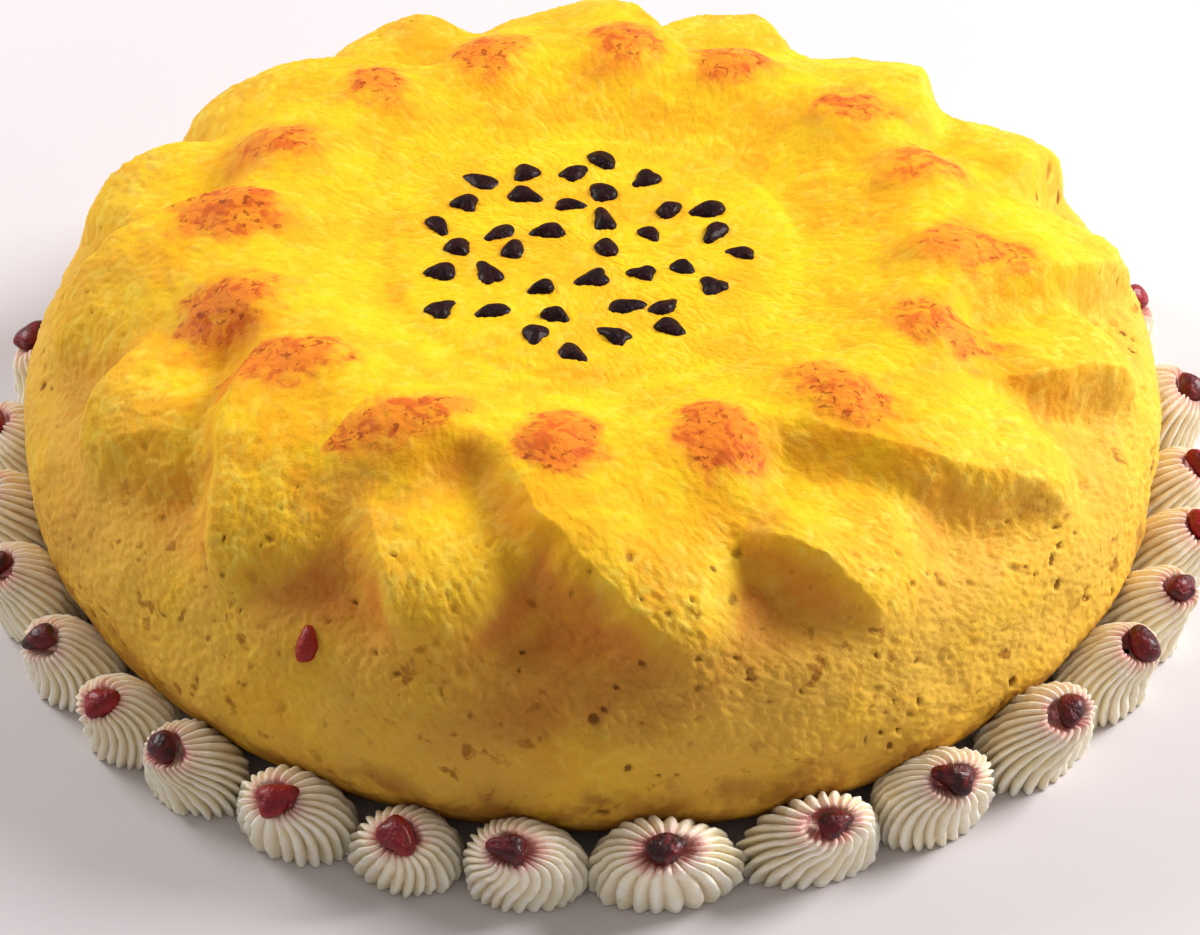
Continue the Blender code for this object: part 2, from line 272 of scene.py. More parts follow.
petals = {
    "long": {"first": 7.0, "heights": (0.0026, 0.0026, 0.0032)},    # off the plain dome: at the crown, root and tip
    "short": {"first": 29.5, "heights": (0.0026, -0.0026, 0.0046)},
    "drop": (0.0690, 0.0095), "climb": (0.0770, 0.0270),            # where a height changes, and over what length
    "shoulder": -0.0042, "pitch": 45.0, "tipRadius": 0.1130, "tipRounding": 1.2,
    "cliff": {"opening": 540, "out": 0.0080, "in": 0.0022},         # openings are in degrees per metre
    "slope": {"opening": 430, "out": 0.0080, "in": 0.0070},
    "steepTurn": 5.0, "sawtooth": 0.0030, "sawTurn": 8.0, "sawStart": 0.0740, "sawWidth": 0.0180,
    "leans": (1, -1, 0, 2, -1, 1, 0, 0, 0, 1, 1.5, -0.5, 3.5, 1, 4.5, 3), "leanStart": 0.0850, "leanWidth": 0.0250,
    "start": 0.0560, "startWidth": 0.0180, "floor": 0.0390, "fade": 0.0120,
    # the painted shade in the hollows between the petals is darkest towards the front, which faces away from the lights
    "hollowShadeFront": 262, "hollowShadeTurn": 54, "hollowShadeLeast": 0.20,      # the hollows are darkest towards the front
}
knobs = {
    "radius": 0.0690, "rise": 0.0022, "offset": 10.0, "halfTurn": 6.2, "halfLength": 0.0115,
    "patchLength": 0.85, "patchInset": 0.0075,   # a browned patch against its knob, and where it starts
    # how strongly each is browned, from the first on the right side anticlockwise
    "browned": (0.75, 0.9, 0.95, 0.95, 0.95, 0.9, 0.85, 0.95, 1.0, 1.1, 0.9, 1.4, 1.1, 0.9, 0.85, 0.8),
    # and how long each patch is against the others
    "reach": (1.0, 1.0, 0.9, 0.85, 0.85, 0.9, 1.0, 1.15, 1.25, 1.2, 1.25, 0.85, 0.9, 1.2, 1.25, 1.15),
    # and how many degrees its outer end lies aside
    "drift": (0, 0, 0, 0, 0, 0, 0, 0, 0, -4, 10, 0, 0, 2, 0, 0),
}
stainsAndShade = {
    "start": 0.0760, "startWidth": 0.0120,       # none lies inside this radius
    # darker patches, part brown stain and part painted shadow under the overhanging petals: angle and half turn, height
    # and half height, strength
    "patches": ((269.0, 17.0, 0.0370, 0.0130, 1.0), (201.0, 14.0, 0.0330, 0.0160, 0.70),
                (239.5, 5.8, 0.0525, 0.0150, 1.0)),
}
# hollow and pit are painted shade; stain, crust and lower are part the rice's own colour and part painted shade
riceColours = {
    "lemon": (246, 197, 34), "saffron": (243, 174, 34), "paleSide": (243, 195, 52), "deepSide": (237, 178, 50),
    "fine": (236, 160, 26), "paleGrain": (248, 224, 96), "lower": (231, 181, 73), "stain": (180, 110, 52),
    "spot": (150, 90, 28), "crustAndShade": (156, 96, 42), "hollowShade": (202, 106, 50), "pit": (126, 76, 24),
    "amber": (236, 134, 42), "toast": (206, 88, 36), "char": (144, 58, 24),
}


def domeHeight(radius):
    # the squared dome z = waist + rise (1 - (r/R)^p)^(1/p)
    share = np.clip(1 - (radius / rice["radius"]) ** rice["power"], 0, 1)
    return rice["waist"] + rice["rise"] * share ** (1 / rice["power"])


def discLevel():
    # the height of the flat disc that holds the crown's berries
    return domeHeight(rice["discRadius"]) - rice["dishDepth"] + rice["discStep"]


def crownHeight(radius):
    # the dome, dished towards the middle by an S-curve, with the flat seed disc in the dish
    dish = rice["dishDepth"] * (1 - smooth((radius - rice["discRadius"]) / (rice["dishRadius"] - rice["discRadius"])))
    inDisc = smooth((rice["discRadius"] + rice["discBevel"] - radius) / (2 * rice["discBevel"]))
    return (1 - inDisc) * (domeHeight(radius) - dish) + inDisc * discLevel()


def bodyRows():
    # radius and height at even lengths along the profile: crown, dome to the foot's top, then the foot drawing in
    turn = np.linspace(0, math.pi / 2, 4000)
    radius = rice["radius"] * np.sin(turn) ** (2 / rice["power"])
    height = np.where(radius < rice["dishRadius"], crownHeight(radius), domeHeight(radius))
    steepHeight = rice["waist"] + rice["rise"] * np.cos(turn) ** (2 / rice["power"])
    height = np.where(radius > 0.9 * rice["radius"], steepHeight, height)
    onDome = height > rice["footHeight"]
    share = np.linspace(1, 0, 200)    # the foot draws in as the square of the way down
    footRadius = rice["radius"] - (rice["radius"] - rice["footRadius"]) * (1 - share) ** 2
    radius = np.concatenate([radius[onDome], footRadius])
    height = np.concatenate([height[onDome], share * rice["footHeight"]])
    length = np.concatenate([[0], np.cumsum(np.hypot(np.diff(radius), np.diff(height)))])
    stations = np.linspace(0, length[-1], int(length[-1] / rice["spacing"]))
    radius, height = np.interp(stations, length, radius), np.interp(stations, length, height)
    base = np.linspace(1, 0, rice["baseRows"] + 1)[1:]
    return np.concatenate([radius, base * radius[-1]]), np.concatenate([height, 0 * base])


def fromNearest(angle, first):
    # the signed turn from the nearest of the places one petal pitch apart
    return angle - first - petals["pitch"] * np.round((angle - first) / petals["pitch"])


def layPetals(angle, radius, petal, below):
    # Pointed petals over what lies below, the neighbours' first. Both edges open from the tip as straight lines, and a
    # place's distance inside its edge is measured square to it. The clockwise flank is a steep hollow cliff, the other
    # a long slope, and the top falls from the cliff to the slope
    crown, root, tip = petal["heights"]
    top = crown + (root - crown) * smooth((radius - petals["drop"][0]) / petals["drop"][1])
    top = top + (tip - root) * smooth((radius - petals["climb"][0]) / petals["climb"][1])
    fall = petals["sawtooth"] * smooth((radius - petals["sawStart"]) / petals["sawWidth"])
    arc = np.radians(radius)
    deepest = np.full(radius.shape, -1.0)
    for neighbour in (-1, 0, 1):
        turn = fromNearest(angle, petal["first"]) + neighbour * petals["pitch"]
        steep = smooth(0.5 - turn / petals["steepTurn"])
        opening, out, into = (
            steep * petals["cliff"][key] + (1 - steep) * petals["slope"][key] for key in ("opening", "out", "in")
        )
        rounded = np.hypot(turn, petals["tipRounding"]) - petals["tipRounding"]
        inside = (opening * (petals["tipRadius"] - radius) - rounded) * arc / np.hypot(1, opening * arc)
        share = np.clip((inside + out) / (out + into), 0, 1)
        share = steep * (0.5 * share**1.6 + 0.5 * smooth(share) ** 1.5) + (1 - steep) * smooth(share)
        below = below + share * (top - fall * np.tanh(turn / petals["sawTurn"]) - below)
        deepest = np.maximum(deepest, inside)
    return below, deepest


def knobShare(angle, radius):
    # 1 at a knob's middle, falling off as a bell curve round it and along it
    across = (np.abs(fromNearest(angle, petals["short"]["first"])) - knobs["offset"]) / knobs["halfTurn"]
    along = (radius - knobs["radius"]) / knobs["halfLength"]
    return np.exp(-(across**2) - along**2)


def petalRelief(angle, radius, height):
    # how far the mould pushes the surface out along the dome's normal, and how deep a place lies between petals
    places = petals["long"]["first"] + petals["pitch"] / 2 * np.arange(len(petals["leans"]))
    lean = np.interp(angle, places, petals["leans"], period=360)
    angle = angle - lean * smooth((radius - petals["leanStart"]) / petals["leanWidth"])
    shortLaid, shortInside = layPetals(angle, radius, petals["short"], petals["shoulder"])
    relief, longInside = layPetals(angle, radius, petals["long"], shortLaid)
    shown = smooth((height - petals["floor"]) / petals["fade"])
    shown = shown * smooth((radius - petals["start"]) / petals["startWidth"])
    return relief * shown + knobs["rise"] * knobShare(angle, radius), shortInside, longInside, shown


def unevenWaves(angle, height, rng):
    # low waves that run round and up the cake: the sum of sin(k turn + rise + phase) sin(k rise + phase)
    lumps = 0
    for k, (turnPhase, risePhase) in enumerate(rng.uniform(0, 2 * math.pi, (4, 2))):
        around = np.sin((k + 2) * np.radians(angle) + 90 * height + turnPhase)
        lumps = lumps + around * np.sin(55 * (k + 1) * height + risePhase)
    return rice["waves"] * lumps


def outward(radius, height):
    # the dome's unit normal, as its radial and upward parts
    out = (radius / rice["radius"]) ** (rice["power"] - 1) / rice["radius"]
    up = (np.clip(height - rice["waist"], 0, None) / rice["rise"]) ** (rice["power"] - 1) / rice["rise"]
    steep = np.maximum(np.hypot(out, up), 1e-9)
    return out / steep, up / steep


def browning(angle, radius, points):
    # The knobs and the ridges behind them are browned in broken patches: strength times an S-curve that falls with the
    # distance from the patch's middle, which noise makes uneven
    firstKnob = petals["short"]["first"] - knobs["offset"]
    order = (np.round((angle - firstKnob) / (petals["pitch"] / 2)) % len(knobs["browned"])).astype(int)
    strength, reach, drift = (np.array(knobs[key])[order] for key in ("browned", "reach", "drift"))
    reach = knobs["patchLength"] * knobs["halfLength"] * reach
    along = (radius - knobs["radius"] + knobs["patchInset"] - reach) / reach
    drift = drift * np.clip(0.5 + along, -0.2, 1.6)
    across = (np.abs(fromNearest(angle, petals["short"]["first"])) - knobs["offset"] - drift) / knobs["halfTurn"]
    wobble = 0.26 * layeredNoise(points, 0.0120, 61) + 0.30 * layeredNoise(points, 0.0035, 63)
    return strength * smooth(1.50 - np.hypot(across, along) + wobble)


def stainAndShadeShare(angle, radius, height):
    # each patch of stain and painted shadow is a bell curve round the cake and up it
    share = 0
    for middle, halfTurn, level, halfHeight, strength in stainsAndShade["patches"]:
        across = (angle - middle - 360 * np.round((angle - middle) / 360)) / halfTurn
        up = (height - level) / halfHeight
        share = share + strength * np.exp(-(across**2) - up**2)
    return share * smooth((radius - stainsAndShade["start"]) / stainsAndShade["startWidth"])


def hollowShadeShare(angle, shortInside, longInside, shown):
    # painted shade in the hollows: 1 deep between the petals, falling off by an S-curve at their edges and away from
    # the front, where the cake lies most in shade
    outsideShort, outsideLong = (smooth(0.5 - inside / 0.004) for inside in (shortInside, longInside))
    besideLong = 0.6 * smooth(1 - np.abs(longInside) / 0.010)
    fromFront = (angle - petals["hollowShadeFront"] + 180) % 360 - 180
    least = petals["hollowShadeLeast"]
    darkest = least + (1 - least) * np.exp(-((fromFront / petals["hollowShadeTurn"]) ** 2))
    return shown * outsideLong * np.maximum(outsideShort, besideLong) * darkest


def grainRelief(points, normals):
    # Long grains pressed flat into the surface, with grooves where two meet, and how pale each one is
    near, second, number = scatterField(
        points, rice["grainSpacing"], rice["grainLength"] / 2, rice["grainWidth"] / 2, 71, 1.0, normals
    )
    groove = 1 - smooth((second - near) / 0.45)
    pale = smooth((number - rice["paleGrains"]) / 0.12) * smooth(1.9 - 1.5 * near)
    return (1 - smooth(near / 1.6)) - 0.7 * groove, pale


def pitShare(points):
    # how deep each place lies in a pit, from 0 to 1: an S-curve over its distance, each pit with its own depth
    pitted = 0
    for size, share, seed in rice["pits"]:
        halfLength, halfWidth = rice["pitHalfLength"] * size, rice["pitHalfWidth"] * size
        pit, _, number = scatterField(points, size, halfLength, halfWidth, seed, share)
        pitted = np.maximum(pitted, smooth(1.7 - 1.5 * pit) * (0.30 + 0.70 * number))
    return pitted


def riceSurface(rng):
    # Grid over angle and profile row. Each point is the profile point pushed out along the dome's normal by the mould's
    # relief, the low waves, small soft lumps and the grains' rise, less the pits' depth
    radius, height = bodyRows()
    steps = rice["steps"]
    angle = np.arange(steps) * 360 / steps
    radius, angle = np.meshgrid(radius, angle, indexing="ij")
    height = np.broadcast_to(height[:, None], radius.shape)
    around = np.radians(angle)
    plain = np.stack([radius * np.cos(around), radius * np.sin(around), height], axis=-1)
    out, up = outward(radius, height)
    normals = np.stack([out * np.cos(around), out * np.sin(around), up], axis=-1)
    flatPoints, flatNormals = plain.reshape(-1, 3), normals.reshape(-1, 3)

    def uneven(key, seed, layers=3):
        # one of the settings' kinds of unevenness over the grid
        strength, size = rice[key]
        return strength * layeredNoise(flatPoints, size, seed, layers).reshape(radius.shape)

    def patchy(size, seed):
        # soft noise that decides where marks gather
        return layeredNoise(flatPoints, size, seed).reshape(radius.shape)

    side = smooth((radius - rice["sideStart"]) / rice["sideWidth"])
    clearOfBase = smooth(height / rice["footHeight"])
    clearOfDisc = smooth((radius - rice["discRadius"]) / rice["discMargin"])
    turned, reached = angle + uneven("turnWobble", 21, 4), radius + uneven("reachWobble", 31, 4)
    relief, shortInside, longInside, shown = petalRelief(turned, reached, height)
    relief = relief * (1 + uneven("reliefWobble", 51))
    push = relief + unevenWaves(angle, height, rng) * clearOfBase * clearOfDisc
    worn = uneven("lumps", 41) + side * uneven("sideLumps", 43, 1)
    push = push + worn * clearOfBase * (0.35 + 0.65 * clearOfDisc)

    grain, pale = (value.reshape(radius.shape) for value in grainRelief(flatPoints, flatNormals))
    push = push + rice["grainRise"] * grain * clearOfBase * (0.5 + 0.5 * side)
    gathered = smooth(0.6 + 0.8 * patchy(0.024, 97))
    pitted = pitShare(flatPoints).reshape(radius.shape)
    pitted = pitted * (0.06 + 0.94 * side * (0.35 + 0.65 * gathered)) * clearOfBase
    push = push - rice["pitDepth"] * pitted

    reach = radius + push * out
    points = np.stack([reach * np.cos(around), reach * np.sin(around), height + push * up], axis=-1)
    points[..., 2] = np.maximum(points[..., 2], 0)
    points[-rice["baseRows"] - 1:, :, 2] = 0

    onPetal = shown * smooth(np.maximum(longInside, shortInside) / 0.006)
    crustShadeEdge = rice["crustShadeHeight"] + 0.005 * patchy(0.010, 121)
    values = {
        "browned": browning(angle, radius, plain),
        # painted shade between the petals
        "hollowShade": hollowShadeShare(angle, shortInside, longInside, shown),
        "pitted": pitted,
        "crown": 1 - side,
        # brown stain with painted shadow in it, broken up by noise
        "stainAndShade": stainAndShadeShare(angle, radius, height) * smooth(0.75 + 0.5 * patchy(0.014, 111)),
        # browned crust at the foot, with painted contact shade in it
        "crustAndShade": smooth((crustShadeEdge - height) / rice["crustShadeFade"]),
        "grainTone": pale * (0.45 + 0.55 * side),
        # a tint for the lower body, part its own deeper tone and part painted warm shade, kept off the petals' tops
        "lower": smooth((rice["lowerHeight"] - height) / rice["lowerFade"]) * (1 - 0.8 * onPetal),
    }
    return points, values


def gridNormals(points):
    # the normal at each grid point, from the lines to its neighbours round and along
    beside = np.roll(points, -1, axis=1) - np.roll(points, 1, axis=1)
    down = np.gradient(points, axis=0)
    normals = np.cross(down, beside)
    length = np.linalg.norm(normals, axis=-1, keepdims=True)
    return normals / np.maximum(length, 1e-12)


def riceMaterial():
    # Mottled lemon and saffron, paler grains, a deeper tint below that is part painted warm shade, stains and crust
    # with painted shade in them, painted shade in the hollows and pits, and browned knobs with toasted streaks and
    # charred flecks. Noises are given as scale, detail and distortion
    shader = Shader("Saffron rice", Specular_IOR_Level=0.05, Subsurface_Weight=0.22, Subsurface_Scale=0.004,
                    Subsurface_Radius=(1.0, 0.55, 0.12))
    tint = {key: colour(*value) for key, value in riceColours.items()}
    mottle = shader.between(shader.noise(75, 4.0, 0.4), 0.36, 0.66)
    crown = shader.mix(mottle, tint["lemon"], tint["saffron"])
    side = shader.mix(mottle, tint["paleSide"], tint["deepSide"])
    base = shader.mix(shader.attribute("crown"), side, crown)
    fine = shader.between(shader.noise(420, 3.0), 0.35, 0.75)
    base = shader.mix(shader.times(fine, 0.30), base, tint["fine"])
    base = shader.mix(shader.times(shader.attribute("grainTone"), 0.40), base, tint["paleGrain"])
    # the lower body's tint, part its own tone and part painted warm shade
    base = shader.mix(shader.broken("lower", (48, 4.0, 0.6), 0.30, 0.62, 0.35, 0.95), base, tint["lower"])
    # stain patches with painted shadow in them
    base = shader.mix(shader.broken("stainAndShade", (90, 4.0, 0.5), 0.25, 0.60, 0.45, 0.80), base, tint["stain"])
    gathered = shader.between(shader.noise(38, 2.0), 0.38, 0.60)
    spot = shader.times(shader.between(shader.noise(230, 4.0, 0.3), 0.585, 0.68, 0.0, 0.78), gathered)
    base = shader.mix(shader.times(shader.attribute("lower"), spot), base, tint["spot"])
    # browned crust at the foot, with painted contact shade in it
    base = shader.mix(shader.broken("crustAndShade", (170, 3.0, 0.4), 0.30, 0.60, 0.15, 0.75), base, tint["crustAndShade"])
    # painted shade in the hollows between the petals
    base = shader.mix(shader.broken("hollowShade", (110, 3.0), 0.25, 0.60, 0.30, 0.75), base, tint["hollowShade"])
    base = shader.mix(shader.broken("browned", (160, 4.0, 0.5), 0.30, 0.52, 0.65, 1.0), base, tint["amber"])
    browned = shader.attribute("browned")
    streak = shader.between(shader.noise(270, 4.0, 0.8), 0.47, 0.62)
    base = shader.mix(shader.times(shader.between(browned, 0.30, 0.90, 0.0, 0.75), streak), base, tint["toast"])
    fleck = shader.between(shader.noise(520, 2.0, 0.8), 0.57, 0.67)
    base = shader.mix(shader.times(shader.between(browned, 0.35, 0.90, 0.0, 0.72), fleck), base, tint["char"])
    # painted shade in the pits' small holes, over their real depth
    base = shader.mix(shader.between(shader.attribute("pitted"), 0.10, 0.70, 0.0, 0.90), base, tint["pit"])
    rough = shader.between(shader.noise(260, 3.0), 0.3, 0.7, 0.42, 0.60)
    relief = shader.bump(shader.noise(650, 4.0), 0.00022)
    relief = shader.bump(shader.noise(2200, 2.0), 0.00010, relief)
    return shader.finish(Base_Color=base, Roughness=rough, Normal=relief)


def makeRice(rng, material):
    # the surface is cut into bands of rows that share their edge points and their normals
    points, values = riceSurface(rng)
    normals = gridNormals(points)
    rows, steps = points.shape[:2]
    cuts = np.linspace(0, rows - 1, len(rice["bands"]) + 1).astype(int)
    for name, first, last in zip(rice["bands"], cuts[:-1], cuts[1:]):
        band = slice(first, last + 1)
        faces = gridFaces(last + 1 - first, steps)
        marks = {key: value[band] for key, value in values.items()}
        mesh = buildMesh(name, points[band].reshape(-1, 3), faces, marks, normals[band].reshape(-1, 3))
        addPiece(name, mesh, material, ["cake"])
        print(name, len(faces) * 2, "triangles")
    return points, normals


# Barberries

crownBerries = {
    "count": 37, "spread": (0.0340, 0.0370), "centre": (-0.0030, 0.0010), "jitter": 0.0022,
    "size": (0.0074, 0.0056, 0.0044), "sizeRange": (0.80, 1.15), "sunk": 0.0006, "shapeSeed": 5,
}
sideBerry = {"angle": 242.5, "height": 0.0465, "size": (0.0070, 0.0044, 0.0036), "sunk": 0.0002, "shapeSeed": 8}
ringBerries = {"shapeSeed": 23, "toneSeed": 7}
berry = {
    "rows": 22, "steps": 28,
    "narrowing": (0.1, 0.5),                            # how far the thin end is drawn in
    "creases": (3, 6), "creaseDepth": (0.06, 0.16), "bend": 0.16,
    "dent": 0.14, "dentSize": 0.75, "corners": (0.04, 0.20), "cornerTurn": 0.6,
}
berryFinishes = {   # deep colour, bright colour, gloss
    "Dark barberry": ((26, 4, 8), (58, 8, 14), 0.20),
    "Baked barberry": ((150, 26, 18), (188, 52, 34), 0.50),
    "Red barberry": ((44, 4, 8), (154, 10, 24), 0.60),
}


def berryShape(size, rng):
    # A long drop along X: radius sin(t)^0.8 round the axis, drawn to a point at +X, creased along its length by waves
    # whose places are drawn, dented by soft noise, and given three blunt corners, 1 + k cos(3 turn), as seen from above
    rows, steps = berry["rows"], berry["steps"]
    t, a = np.meshgrid(np.linspace(0, np.pi, rows), np.arange(steps) * 2 * np.pi / steps, indexing="ij")
    along = np.cos(t)
    girth = np.sin(t) ** 0.8 * (1 - rng.uniform(*berry["narrowing"]) * np.clip(along, 0, 1) ** 1.5)
    creases, depth = rng.integers(*berry["creases"]), rng.uniform(*berry["creaseDepth"])
    crests = np.abs(np.cos(creases * a / 2 + rng.uniform(0, 6) + 0.8 * along))
    girth = girth * (1 - depth * (1 - crests) * np.sin(t))
    bend = rng.uniform(-berry["bend"], berry["bend"])
    points = np.stack([along, girth * np.cos(a) + bend * along**2, girth * np.sin(a)], axis=-1)
    dent = berry["dent"] * softNoise(points + rng.uniform(0, 50, 3), berry["dentSize"], 7) * np.sin(t)
    points = points * (1 + dent)[..., None]
    turn = np.arctan2(points[..., 1], points[..., 0])
    blunt = rng.uniform(*berry["corners"])
    corners = 1 + blunt * np.cos(3 * turn + rng.uniform(-berry["cornerTurn"], berry["cornerTurn"]))
    points[..., :2] *= corners[..., None]
    return points.reshape(-1, 3) * np.array(size) / 2


def berryMesh(name, shapes, values=None):
    # several berries as one mesh, with the grid's faces repeated for each and turned to face outwards
    one = gridFaces(berry["rows"], berry["steps"])[:, ::-1]
    faces = np.concatenate([one + k * len(shapes[0]) for k in range(len(shapes))])
    return buildMesh(name, np.concatenate(shapes), faces, values)


def makeCrownBerries(rng, material):
    # A seeded spiral, reach sqrt((k + 0.4) / count) and one golden angle apart: the same draws in the same order as for
    # the berries joined to the solid
    shapeRng = np.random.default_rng(crownBerries["shapeSeed"])
    golden = math.pi * (3 - math.sqrt(5))
    jitter, count = crownBerries["jitter"], crownBerries["count"]
    shapes = []
    for k in range(count):
        reach = math.sqrt((k + 0.4) / count)
        spiral = np.array([math.cos(k * golden), math.sin(k * golden)]) * reach * crownBerries["spread"]
        place = crownBerries["centre"] + spiral + rng.uniform(-jitter, jitter, 2)
        centre = np.array([*place, discLevel() - crownBerries["sunk"]])
        size = np.array(crownBerries["size"]) * rng.uniform(*crownBerries["sizeRange"], 3)
        yaw = rng.uniform(0, 2 * math.pi)
        turned = np.array([[math.cos(yaw), -math.sin(yaw), 0], [math.sin(yaw), math.cos(yaw), 0], [0, 0, 1]])
        shapes.append(berryShape(size, shapeRng) @ turned.T + centre)
    addPiece("crownBarberries", berryMesh("crownBarberries", shapes), material, ["cake"])
    print("crown berries", len(shapes))


def makeSideBerry(points, normals, material):
    # lies upright in the side, half sunk where the body's surface is nearest to its place
    angle = math.radians(sideBerry["angle"])
    target = np.array([math.cos(angle), math.sin(angle), 0]) * rice["radius"]
    target[2] = sideBerry["height"]
    flat = points.reshape(-1, 3)
    nearest = np.argmin(np.linalg.norm(flat - target, axis=1))
    normal = normals.reshape(-1, 3)[nearest]
    steepest = np.array([0, 0, 1.0]) - normal * normal[2]
    steepest = steepest / np.linalg.norm(steepest)
    axes = np.stack([steepest, np.cross(normal, steepest), normal], axis=1)
    shape = berryShape(sideBerry["size"], np.random.default_rng(sideBerry["shapeSeed"]))
    shape = shape @ axes.T + flat[nearest] - normal * sideBerry["sunk"]
    addPiece("sideBarberry", berryMesh("sideBarberry", [shape]), material, ["cake"])
    print("side berry")


def nodePoints(name):
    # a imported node's points, one row each
    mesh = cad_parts[name].data
    flat = np.empty(len(mesh.vertices) * 3, np.float32)
    mesh.vertices.foreach_get("co", flat)
    return flat.reshape(-1, 3).astype(float)


def nodeAxes(points):
    # the middle of a node's points, their three main directions, longest first with the thin end towards +X, and size
    centre = points.mean(axis=0)
    _, _, axes = np.linalg.svd(points - centre, full_matrices=False)
    local = (points - centre) @ axes.T
    if abs(local[:, 0].min()) < local[:, 0].max():
        axes[0] = -axes[0]
    if np.linalg.det(axes) < 0:
        axes[1] = -axes[1]
    local = (points - centre) @ axes.T
    low, high = local.min(axis=0), local.max(axis=0)
    return centre + (low + high) / 2 @ axes, axes, high - low


def makeRingBerries(material):
    # each berry lies in its node's place and along its directions, and its tone of red is a drawn number, squared
    names = sorted(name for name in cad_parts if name.startswith("berry_"))
    rng = np.random.default_rng(ringBerries["shapeSeed"])
    shapes = []
    for name in names:
        centre, axes, size = nodeAxes(nodePoints(name))
        shapes.append(berryShape(size, rng) @ axes + centre)
    tone = np.random.default_rng(ringBerries["toneSeed"]).uniform(0, 1, len(names)) ** 2
    mesh = berryMesh("ringBarberries", shapes, {"tone": np.repeat(tone, len(shapes[0]))})
    addPiece("ringBarberries", mesh, material, names)
    print("ring berries", len(shapes))


def berryMaterial(name):
    # a deep colour blotched towards a bright one, brighter still by each berry's tone, under a wrinkled, glossy skin
    deep, bright, gloss = berryFinishes[name]
    shader = Shader(name, Specular_IOR_Level=0.5 * gloss, Coat_Weight=0.35 * gloss, Coat_Roughness=0.12,
                    Subsurface_Weight=0.12, Subsurface_Scale=0.002, Subsurface_Radius=(1.0, 0.15, 0.1))
    blotch = shader.between(shader.noise(300, 3.0, 0.6), 0.38, 0.66, 0.0, 0.40)
    tone = shader.between(shader.attribute("tone"), 0.0, 1.0, 0.0, 0.70)
    base = shader.mix(shader.combine("ADD", blotch, tone), colour(*deep), colour(*bright))
    rough = shader.between(shader.noise(900, 2.0), 0.3, 0.7, 0.46 - 0.2 * gloss, 0.62 - 0.2 * gloss)
    relief = shader.bump(shader.noise(420, 3.0, 1.2), 0.0009)
    relief = shader.bump(shader.noise(1300, 3.0), 0.00030, relief)
    return shader.finish(Base_Color=base, Roughness=rough, Normal=relief)


# The piped ring

ring = {
    "seed": 31, "rows": 44, "steps": 216, "perPiece": 10,
    "bend": 27.0,                                # how far a rosette's top leans outwards
    "taller": (1.0, 1.06), "spread": 1.06,       # the soft cream reaches a little past its solid
    "dimple": 0.0042, "footShare": 0.94,         # under the berry, and a foot against its rosette's widest part
    # the flank's radius and height, against the widest part and the top
    "flank": ((0.42, 0.99), (0.64, 0.90), (0.82, 0.70), (0.95, 0.45), (1.0, 0.24), (0.97, 0.08)),
    "ridges": (21, 28), "ridgeDepth": 0.17, "depthRange": (0.75, 1.25), "roundness": 0.75, "wander": (0.2, 1.2),
    "boldest": 0.09, "topCrest": 0.0006, "topFurrow": 0.00065,    # bold ridges stand out, and show on the top as well
    "twist": (6, 44),
    "softness": (0.00070, 0.0060), "crinkle": (0.00032, 0.0022),  # strength and size
}
# valley is painted shade in the creases between the ridges
creamColours = {
    "pale": (253, 247, 230), "warm": (246, 236, 208), "valleyShade": (216, 188, 132), "stain": (222, 128, 128),
}


def rosetteProfile(height):
    # Radius and height from the dimple under the berry, over the peak and down to the foot: a smooth cubic through each
    # mark, with the slope there set by the marks on either side
    dimple = ((0, height - ring["dimple"]), (0.22, height - 0.55 * ring["dimple"]))
    marks = np.vstack([dimple, np.array(ring["flank"]) * (1, height), (ring["footShare"], 0)])
    t = np.linspace(0, len(marks) - 1, ring["rows"] - 3)
    whole = np.minimum(t.astype(int), len(marks) - 2)
    part = (t - whole)[:, None]
    padded = np.vstack([2 * marks[0] - marks[1], marks, 2 * marks[-1] - marks[-2]])
    a, b, c, d = (padded[whole + k] for k in range(4))
    curve = 0.5 * (2 * b + (c - a) * part + (2 * a - 5 * b + 4 * c - d) * part**2 + (3 * b - a - 3 * c + d) * part**3)
    base = np.array([[0.6, 0], [0.3, 0], [0, 0]]) * ring["footShare"]
    return np.vstack([curve, base])


def rosettePlace(points, berryCentre):
    # from a node's points: the directions out of the ring and along it, the foot's middle, and how far the rosette
    # reaches outwards and to its neighbours before and after
    turn = math.atan2(berryCentre.y, berryCentre.x)
    out, side = np.array([math.cos(turn), math.sin(turn)]), np.array([-math.sin(turn), math.cos(turn)])
    across = points[:, :2] @ side
    foot = (points[:, :2] @ out)[points[:, 2] < 0.0003]
    middle = (foot.min() + foot.max()) / 2
    depth = (foot.max() - foot.min()) / 2 / ring["footShare"]
    return out, side, middle, *(ring["spread"] * reach for reach in (depth, -across.min(), across.max()))


def ridgeWaves(angle, rise, rng):
    # |sin| of a count of ridges that wanders round the rosette, 1 on a crest and 0 in a valley, and how bold each is
    ridges = rng.integers(*ring["ridges"])
    wander = sum(rng.uniform(*ring["wander"]) / k * np.sin(angle * k + rng.uniform(0, 6)) for k in (2, 3, 5, 8))
    wander = wander + 0.5 * np.sin(3 * rise + rng.uniform(0, 6)) * np.sin(angle + rng.uniform(0, 6))
    count = ridges * (angle + 1.6 * wander / ridges) / (2 * np.pi)
    bold = rng.uniform(0, 1, 64)[np.floor(count).astype(int) % ridges]
    return np.abs(np.sin(np.pi * count)), bold


